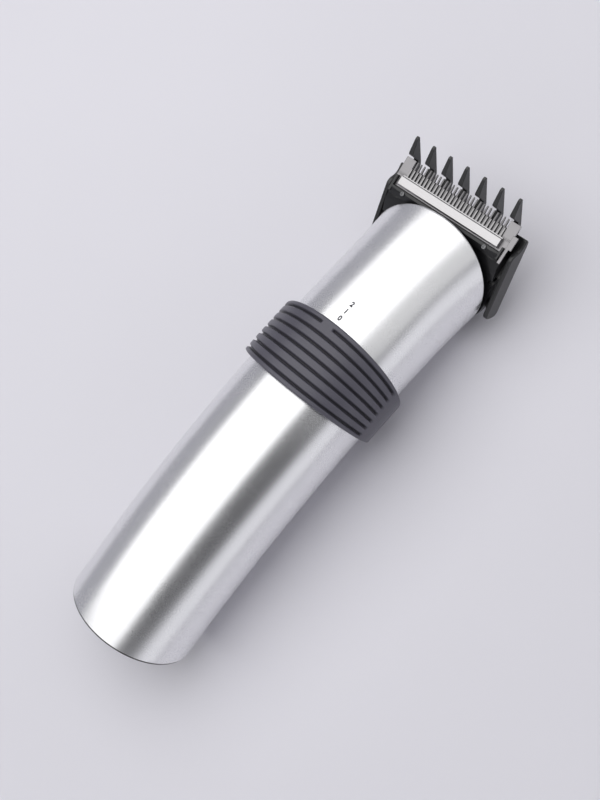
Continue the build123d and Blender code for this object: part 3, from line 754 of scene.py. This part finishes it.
# ---------------------------------------------------------------- operators
class CLIPPER_OT_barrels(bpy.types.Operator):
    """Make the two silver barrels and the position marks"""

    bl_idname = "clipper.barrels"
    bl_label = "Barrels and marks"

    def execute(self, context):
        body = context.scene.clipper_body
        tail = (body.tail_station, body.tail_slope)
        seam = (body.seam_station, body.seam_slope)
        mouth = (body.mouth_station, body.mouth_slope)
        lower = shell("LowerBarrel", tail, seam, steps=96)
        cutter = self.slot_cutter(body)
        opening = lower.modifiers.new("SwitchSlot", "BOOLEAN")
        opening.object = cutter
        opening.operation = "DIFFERENCE"
        opening.solver = "EXACT"
        baked(lower)
        bpy.data.objects.remove(cutter)
        settle(soften(lower, body.rim), "lower_barrel")
        upper = shell("UpperBarrel", seam, mouth, steps=56)
        settle(soften(upper, body.rim), "upper_barrel")
        self.marks(context.scene.clipper_ring)
        return {"FINISHED"}

    def slot_cutter(self, body):
        """Block that opens the slot for the switch link under the ring."""
        corners = []
        depth = 4 * body.wall
        for station in (body.slot_rear, body.slot_front):
            for x in (-body.slot_half, body.slot_half):
                for lift in (-depth, depth):
                    corners.append(on_arc(station, x, body.half_height + lift))
        faces = [(0, 1, 3, 2), (4, 6, 7, 5), (0, 4, 5, 1), (2, 3, 7, 6), (0, 2, 6, 4), (1, 5, 7, 3)]
        return outward(piece("SlotCutter", corners, faces))

    def marks(self, ring):
        """Printed numbers, wrapped on the barrel ahead of the ring."""
        skin = Skin()
        numbers = []
        for index, digit in enumerate("012"):
            text = bpy.data.curves.new("Mark", "FONT")
            text.body = digit
            text.size = ring.mark_size
            text.align_x = "CENTER"
            text.align_y = "CENTER"
            text.offset = ring.mark_weight
            text.extrude = ring.mark_relief
            text.resolution_u = 4
            holder = placed("Mark", text)
            mesh = drawn_mesh(holder)
            bpy.data.objects.remove(holder)
            station = ring.mark_station + index * ring.mark_pitch
            for vertex in mesh.vertices:
                x, y, z = vertex.co
                vertex.co = skin.point(station + y, math.acos(x / skin.width), z)
            numbers.append(placed("Mark", mesh))
        settle(outward(joined("PositionMarks", numbers)), "position_marks")


class CLIPPER_OT_ring(bpy.types.Operator):
    """Make the ribbed grip ring"""

    bl_idname = "clipper.ring"
    bl_label = "Grip ring"

    def execute(self, context):
        ring = context.scene.clipper_ring
        skin = Skin()
        around, along, inside = 288, 120, 12
        angles = [TURN * j / around for j in range(around)]
        rears = skin.edge((ring.rear_station, ring.rear_slope), angles, ring.outer)
        fronts = skin.edge((ring.front_station, ring.front_slope), angles, ring.outer)
        rings, depths = [], []
        for i in range(along + 1):
            share = i / along
            row = []
            for j in range(around):
                span = fronts[j] - rears[j]
                station = fronts[j] - share * span
                point, depth = self.surface(ring, skin, station, angles[j], share, span)
                row.append(point)
                depths.append(depth)
            rings.append(row)
        for i in range(inside, -1, -1):
            rings.append(skin.row(fronts, rears, i / inside, angles, ring.inner))
        depths += [0.0] * ((inside + 1) * around)
        # Each point's groove depth is also stored for the material, which paints shade into the grooves by
        # it.
        made = outward(piece("GripRing", *closed_rings(rings), depths))
        settle(soften(made, 0.12 * MM, segments=2, limit=60.0), "grip_ring")
        return {"FINISHED"}

    def surface(self, ring, skin, station, angle, share, span):
        """A point of the ring's outside with its rounded edges and grooves, and how deep it lies."""
        to_edge = min(share, 1 - share) * span
        lift = ring.outer
        if to_edge < ring.edge:
            lift -= ring.edge - math.sqrt(ring.edge**2 - (ring.edge - to_edge) ** 2)
        flat = skin.point(station, angle, ring.outer)
        above = (flat.z - skin.apex.z) - ring.groove_end - ring.groove_half
        beyond_end = max(0.0, -above) / ring.groove_half
        margin = 0.1
        pitch = 1.0 / (ring.grooves + 2 * margin)
        deepest = 0.0
        for index in range(ring.grooves):
            off = abs(share - (index + 0.5 + margin) * pitch) * span / ring.groove_half
            beyond = beyond_end
            if index == 0 and flat.z > skin.apex.z:
                land = ring.land_half + ring.groove_half - abs(flat.x)
                beyond = max(beyond, land / ring.groove_half)
            reach = min(1.0, math.hypot(off, beyond))
            deepest = max(deepest, 0.5 + 0.5 * math.cos(math.pi * reach))
        return skin.point(station, angle, lift - ring.groove_depth * deepest), deepest


class CLIPPER_OT_tail(bpy.types.Operator):
    """Make the tail cap, its socket and its light"""

    bl_idname = "clipper.tail"
    bl_label = "Tail"

    def execute(self, context):
        from_cad("TailCap", "tail_cap", 0.3 * MM)
        from_cad("ChargingSocket", "charging_socket", 0.25 * MM)
        from_cad("ChargeLight", "charge_light", 0.25 * MM)
        return {"FINISHED"}


class CLIPPER_OT_head(bpy.types.Operator):
    """Make the head: collar, blade holder, cutter cover and side clip"""

    bl_idname = "clipper.head"
    bl_label = "Head"

    def execute(self, context):
        from_cad("HeadFrame", "head_frame", 0.2 * MM, segments=2)
        from_cad("BladeHolder", "blade_holder", 0.35 * MM)
        from_cad("CutterCover", "cutter_retainer", 0.15 * MM)
        from_cad("SideClip", "side_clip", 0.1 * MM)
        return {"FINISHED"}


class CLIPPER_OT_blades(bpy.types.Operator):
    """Make the fixed blade and the moving cutter with their rows of teeth"""

    bl_idname = "clipper.blades"
    bl_label = "Blades"

    def execute(self, context):
        blades = context.scene.clipper_blades
        self.fixed(blades)
        self.cutter(blades)
        return {"FINISHED"}

    def tooth(self, root, tip, half_root, half_tip, low, high, steps=4, painted_shade=0.6):
        """One tooth: a rounded finger from its root to its tip between two side lines."""
        outline = [(-half_root, root)]
        for k in range(steps + 1):
            a = math.pi * (1 - k / steps)
            outline.append((half_tip * math.cos(a), tip - half_tip + half_tip * math.sin(a)))
        outline.append((half_root, root))
        verts = [blade_point(u, low(u), x) for x, u in outline]
        verts += [blade_point(u, high(u), x) for x, u in outline]
        # Painted shade: every point of a tooth gets the same groove value, so the teeth are painted darker
        # than the bar of the same steel.
        made = piece("Tooth", verts, prism_faces(len(outline)), [painted_shade] * len(verts))
        return soften(outward(made), 0.05 * MM, segments=2)

    def fixed(self, blades):
        thick, root, half = blades.thickness, -blades.depth, blades.half_width
        taper, edge, round_off = 6.5 * MM, 0.35 * MM, 0.1 * MM

        def low(u):
            return -thick if u < -taper else -thick + (u + taper) / taper * (thick - edge)

        plate = [
            (-blades.rear, 0.0),
            (-blades.rear, -thick),
            (-taper, -thick),
            (root, low(root)),
            (root, 0.0),
        ]
        rear = root - MM
        side = [(rear, 0.0), (rear, low(rear)), (0.0, -edge), (0.0, 0.0)]
        half_gap = 0.26 * MM
        inner = (blades.fixed_gaps - 1) / 2 * blades.pitch + half_gap
        parts = [soften(blade_prism("Plate", plate, -half, half), round_off)]
        for hand in SIDES:
            x0, x1 = sorted((hand * inner, hand * half))
            parts.append(soften(blade_prism("End", side, x0, x1), round_off))
        base = joined("FixedBlade", parts)
        sunk = root - 0.4 * MM
        tooth = self.tooth(sunk, 0.0, 0.36 * MM, 0.22 * MM, low, lambda u: 0.0)
        self.row(base, tooth, blades.fixed_gaps - 1, blades.pitch, "fixed_blade")

    def row(self, base, tooth, amount, pitch, node):
        """Set the teeth on their blade, half of them to each side of the middle."""
        start = -(amount - 1) / 2 * pitch
        in_a_row(base, tooth, amount, start, pitch, MATERIALS[SLOT_OF[node]])
        settle(base, node)

    def cutter(self, blades):
        rear, front, top, tip = blades.bar_rear, blades.bar_front, blades.bar_top, blades.cutter_tip
        half = blades.cutter_half
        gap, lip, bevel, heel = 0.03 * MM, 0.3 * MM, 0.25 * MM, 0.4 * MM
        root_high, tip_high, steepness = 0.6 * MM, 0.32 * MM, 2.5
        bar = [
            (rear, gap),
            (front + lip, gap),
            (front + lip, root_high),
            (front, root_high),
            (front, top - bevel),
            (front - bevel, top),
            (rear + heel, top),
            (rear, top - heel),
        ]
        base = soften(blade_prism("MovingCutter", bar, -half, half), 0.08 * MM)

        def high(u):
            share = min(1.0, max(0.0, (tip - u) / (tip - front)))
            return tip_high + (root_high - tip_high) * min(1.0, share * steepness)

        tooth = self.tooth(front, tip, 0.34 * MM, 0.2 * MM, lambda u: gap, high)
        self.row(base, tooth, blades.cutter_gaps - 1, blades.pitch, "moving_cutter")


def screw(name, place, axis, head_radius, head_height, shank_radius, shank_length):
    """A pan-head screw with a cross recess; place is the underside of its head."""
    work = bmesh.new()
    around = 32
    circle = [(math.cos(TURN * j / around), math.sin(TURN * j / around)) for j in range(around)]
    arm, core, sink, draft = head_radius * 0.62, head_radius * 0.16, head_height * 0.6, 0.85
    edge = head_height * 0.35
    crest = edge * 0.3
    profile = [
        (shank_radius * 0.7, -shank_length),
        (shank_radius, -shank_length * 0.9),
        (shank_radius, 0.0),
        (head_radius, 0.0),
        (head_radius, head_height - edge),
        (head_radius - crest, head_height - crest),
        (head_radius - edge, head_height),
    ]
    rings = [
        [work.verts.new((radius * x, radius * y, height)) for x, y in circle]
        for radius, height in profile
    ]
    bottom = work.verts.new((0.0, 0.0, -shank_length))
    for j in range(around):
        k = (j + 1) % around
        work.faces.new((rings[0][j], bottom, rings[0][k]))
        for low, high in zip(rings, rings[1:]):
            work.faces.new((low[j], low[k], high[k], high[j]))
    cross = [
        (arm, -core), (arm, core), (core, core), (core, arm), (-core, arm), (-core, core),
        (-arm, core), (-arm, -core), (-core, -core), (-core, -arm), (core, -arm), (core, -core),
    ]
    rim = [work.verts.new((x, y, head_height)) for x, y in cross]
    foot = [work.verts.new((x * draft, y * draft, head_height - sink)) for x, y in cross]
    loop = []
    for ring in (rings[-1], rim):
        for j, vertex in enumerate(ring):
            other = ring[(j + 1) % len(ring)]
            loop.append(work.edges.get((vertex, other)) or work.edges.new((vertex, other)))
    bmesh.ops.triangle_fill(work, edges=loop, use_beauty=True)
    for j in range(len(cross)):
        k = (j + 1) % len(cross)
        work.faces.new((rim[j], rim[k], foot[k], foot[j]))
    work.faces.new(foot)
    turn_to = Vector((0, 0, 1)).rotation_difference(axis).to_matrix()
    for vertex in work.verts:
        vertex.co = place + turn_to @ vertex.co
    bmesh.ops.recalc_face_normals(work, faces=work.faces)
    mesh = bpy.data.meshes.new(name)
    work.to_mesh(mesh)
    work.free()
    return placed(name, mesh)


class CLIPPER_OT_screws(bpy.types.Operator):
    """Make the screws of the cutter cover and of the tail cap"""

    bl_idname = "clipper.screws"
    bl_label = "Screws"

    def execute(self, context):
        blades = context.scene.clipper_blades
        place = blade_point(blades.screw_u, blades.retainer_top)
        axis = blade_point(0.0, 1.0) - blade_point(0.0, 0.0)
        head_radius, head_height, shank_radius, shank_length = 0.72 * MM, 0.4 * MM, 0.55 * MM, 5.0 * MM
        one = screw("Screw", place, axis, head_radius, head_height, shank_radius, shank_length)
        self.pair("BladeScrews", one, blades.screw_x, "blade_screws")
        self.tail_pair()
        return {"FINISHED"}

    def pair(self, name, one, half, node):
        """Two of the same screw, half to each side."""
        base = piece(name, [], [])
        in_a_row(base, one, 2, -half, 2 * half, MATERIALS[SLOT_OF[node]])
        settle(base, node)

    def tail_pair(self):
        """The tail's screws stand along the charging socket's axis."""
        mount = next(m for m in frame["record"]["mounts"] if m["name"] == "charging_jack")
        axis = Vector(mount["axis"]).normalized()
        low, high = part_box("cap_screws")
        head_radius, head_height, shank_radius, shank_length = 2.0 * MM, 1.1 * MM, 1.1 * MM, 7.0 * MM
        if axis.y > 0:
            axis.negate()
        slant = math.hypot(axis.y, axis.z)
        middle = (low + high) / 2
        reach = head_height + shank_length
        centre = Vector((0.0, middle.y, middle.z))
        place = centre + axis * (reach / 2 - head_height) / slant
        one = screw("Screw", place, axis, head_radius, head_height, shank_radius, shank_length)
        half = high.x - head_radius
        self.pair("CapScrews", one, half, "cap_screws")


class CLIPPER_OT_comb(bpy.types.Operator):
    """Make the guide comb: two arms, a floor, rails and a row of prongs"""

    bl_idname = "clipper.comb"
    bl_label = "Guide comb"

    def execute(self, context):
        comb = context.scene.clipper_comb
        parts = []
        for hand in SIDES:
            parts += [self.arm(comb, hand), self.rail(comb, hand)]
        floor_rear = -13.5 * MM
        low_bar = (comb.rear + 4.0 * MM, comb.rear + 0.8 * MM)
        inset = 0.3 * MM
        half = comb.arm_outer - inset
        for start, end in ((comb.front, floor_rear), low_bar):
            bar = [
                (start, skin_v(start)),
                (end, skin_v(end)),
                (end, skin_v(end, comb.floor)),
                (start, skin_v(start, comb.floor)),
            ]
            parts.append(soften(blade_prism("Bar", bar, -half, half), 0.3 * MM))
        self.prongs(comb, joined("GuideComb", parts))
        return {"FINISHED"}

    def arm(self, comb, hand):
        """The arm on one side, seen from the side, from its front round by its rear end."""
        heel = comb.rear - 2.2 * MM
        dip, dip_height = -5.9 * MM, 2.2 * MM
        side = [
            (comb.front, skin_v(comb.front)),
            (comb.rear, skin_v(comb.rear)),
            (heel, skin_v(heel, comb.arm_width)),
            (comb.shoulder, skin_v(comb.shoulder, comb.arm_width)),
            (dip, skin_v(dip, dip_height)),
            (comb.front, skin_v(comb.front, comb.floor)),
        ]
        x0, x1 = sorted((hand * comb.arm_inner, hand * comb.arm_outer))
        return soften(blade_prism("Arm", rounded(side, 2.2 * MM), x0, x1), 0.8 * MM, segments=4)

    def rail(self, comb, hand):
        """The rail inside one arm that runs in the blade holder's groove."""
        rear, front = -15.5 * MM, -9.5 * MM
        low, high = comb.rail_v - 0.5 * MM, comb.rail_v + 0.5 * MM
        side = [(rear, low), (front, low), (front, high), (rear, high)]
        inner, outer = 20.3 * MM, comb.arm_inner + 0.4 * MM
        x0, x1 = sorted((hand * inner, hand * outer))
        return soften(blade_prism("Rail", side, x0, x1), 0.2 * MM, segments=2)

    def prongs(self, comb, base):
        """The row of prongs that carry the hair over the blades."""
        under_blade = -sizes("clipper_blades").thickness
        root, bend, tip = -7.6 * MM, 0.2 * MM, 6.3 * MM
        side = [
            # the tip
            (5.5 * MM, 4.95 * MM),
            (6.35 * MM, 4.55 * MM),
            # along the skin, back to the root
            (bend, skin_v(bend, 0.2 * MM)),
            (-3.0 * MM, skin_v(-3.0 * MM)),
            (root, skin_v(root)),
            (root, skin_v(root, comb.floor)),
            # under the fixed blade and up past its teeth
            (-6.2 * MM, under_blade - 0.35 * MM),
            (0.35 * MM, under_blade + 0.2 * MM),
            (0.6 * MM, 3.0 * MM),
            (1.0 * MM, 3.4 * MM),
        ]

        def half_width(u):
            share = min(1.0, max(0.0, u / tip))
            return (comb.prong_thickness + (comb.tip_thickness - comb.prong_thickness) * share) / 2

        prong = blade_prism("Prong", rounded(side, 0.5 * MM, steps=4), 0, 0, half_width)
        prong = soften(prong, 0.22 * MM)
        start = -(comb.prongs - 1) / 2 * comb.prong_pitch
        in_a_row(base, prong, comb.prongs, start, comb.prong_pitch, MATERIALS["comb_plastic"])
        settle(base, "guide_comb")


class CLIPPER_OT_inside(bpy.types.Operator):
    """Give the parts that stay as they are their finishes"""

    bl_idname = "clipper.inside"
    bl_label = "Inner parts"

    def execute(self, context):
        for name, obj in frame["nodes"].items():
            obj.data.materials.clear()
            obj.data.materials.append(MATERIALS[SLOT_OF[name]])
        return {"FINISHED"}


class CLIPPER_OT_stage(bpy.types.Operator):
    """Set the pale floor, the soft lights and the camera"""

    bl_idname = "clipper.stage"
    bl_label = "Stage"

    def execute(self, context):
        stage = context.scene.clipper_stage
        half = stage.floor_half
        corners = [(-half, -half, 0.0), (half, -half, 0.0), (half, half, 0.0), (-half, half, 0.0)]
        floor = piece("Floor", corners, [(0, 1, 2, 3)])
        floor.location.z = cad_box[0][2]
        floor.data.materials.append(self.paper(stage))
        self.lamp("OverheadBox", place=(-0.47, 0.0, 0.90), size=(1.46, 1.80), power=stage.key_power)
        self.lamp("HeadBox", place=(0.665, 0.60, 0.90), size=(0.80, 0.90), power=stage.fill_power)
        context.scene.world = self.room(stage)
        context.scene.view_settings.view_transform = "Standard"
        camera = placed("Camera", bpy.data.cameras.new("Camera"))
        camera.location = stage.camera_place
        camera.rotation_euler = Euler(stage.camera_turn)
        camera.data.lens = stage.lens
        camera.data.clip_start = 10 * MM
        context.scene.camera = camera
        return {"FINISHED"}

    def paper(self, stage):
        """Pale, matt and slightly uneven floor."""
        graph = Graph("PaleFloor")
        cloud = graph.noise((6.0,) * 3)
        base = graph.blend(cloud, shaded(stage.floor, 0.97), shaded(stage.floor, 1.03))
        return graph.surface(base, 0.6 + cloud * 0.1)

    def room(self, stage):
        """Light walls, darker at the left, up to a height, and a dim ceiling above them."""
        graph = Graph("Room", "worlds", "Generated")
        toward = graph.node("ShaderNodeSeparateXYZ", {}, {0: graph.place}).outputs
        smooth = {"interpolation_type": "SMOOTHSTEP"}

        def fade(along, start, end):
            ends = {"Value": along, "From Min": start, "From Max": end}
            return graph.node("ShaderNodeMapRange", smooth, ends).outputs[0]

        left = fade(toward["X"], 0.0, stage.shade_fade)
        above = fade(toward["Z"], stage.wall_top, stage.wall_fade)
        walls = graph.blend(left, (*stage.horizon, 1.0), (*stage.shade, 1.0))
        tone = graph.blend(above, walls, (*stage.ceiling, 1.0))
        light = graph.node("ShaderNodeBackground", {}, {"Color": tone})
        graph.node("ShaderNodeOutputWorld", {}, {"Surface": light.outputs[0]})
        return graph.owner

    def lamp(self, name, place, size, power):
        """A soft box that hangs level and shines down."""
        data = bpy.data.lights.new(name, "AREA")
        data.shape = "RECTANGLE"
        data.size, data.size_y = size
        data.energy = power
        lamp = placed(name, data)
        lamp.location = place
        lamp.visible_camera = False


class CLIPPER_PT_panel(bpy.types.Panel):
    """Steps that build the clipper"""

    bl_idname = "CLIPPER_PT_panel"
    bl_label = "Hair Clipper"
    bl_space_type = "VIEW_3D"
    bl_region_type = "UI"
    bl_category = "Hair Clipper"

    def draw(self, context):
        for step in STEPS:
            self.layout.operator(step.bl_idname)


STEPS = (
    CLIPPER_OT_barrels,
    CLIPPER_OT_ring,
    CLIPPER_OT_tail,
    CLIPPER_OT_head,
    CLIPPER_OT_blades,
    CLIPPER_OT_screws,
    CLIPPER_OT_comb,
    CLIPPER_OT_inside,
    CLIPPER_OT_stage,
)


def register():
    for name, group in GROUPS.items():
        bpy.utils.register_class(group)
        setattr(bpy.types.Scene, name, bpy.props.PointerProperty(type=group))
    for step in STEPS:
        bpy.utils.register_class(step)
    bpy.utils.register_class(CLIPPER_PT_panel)


def unregister():
    bpy.utils.unregister_class(CLIPPER_PT_panel)
    for step in reversed(STEPS):
        bpy.utils.unregister_class(step)
    for name, group in GROUPS.items():
        delattr(bpy.types.Scene, name)
        bpy.utils.unregister_class(group)


def main():
    register()
    MATERIALS.update(make_materials(bpy.context.scene.clipper_finish))
    bpy.ops.clipper.barrels()
    bpy.ops.clipper.ring()
    bpy.ops.clipper.tail()
    bpy.ops.clipper.head()
    bpy.ops.clipper.blades()
    bpy.ops.clipper.screws()
    bpy.ops.clipper.comb()
    bpy.ops.clipper.inside()
    bpy.ops.clipper.stage()
    bpy.context.view_layer.update()


if __name__ == "__main__":
    main()
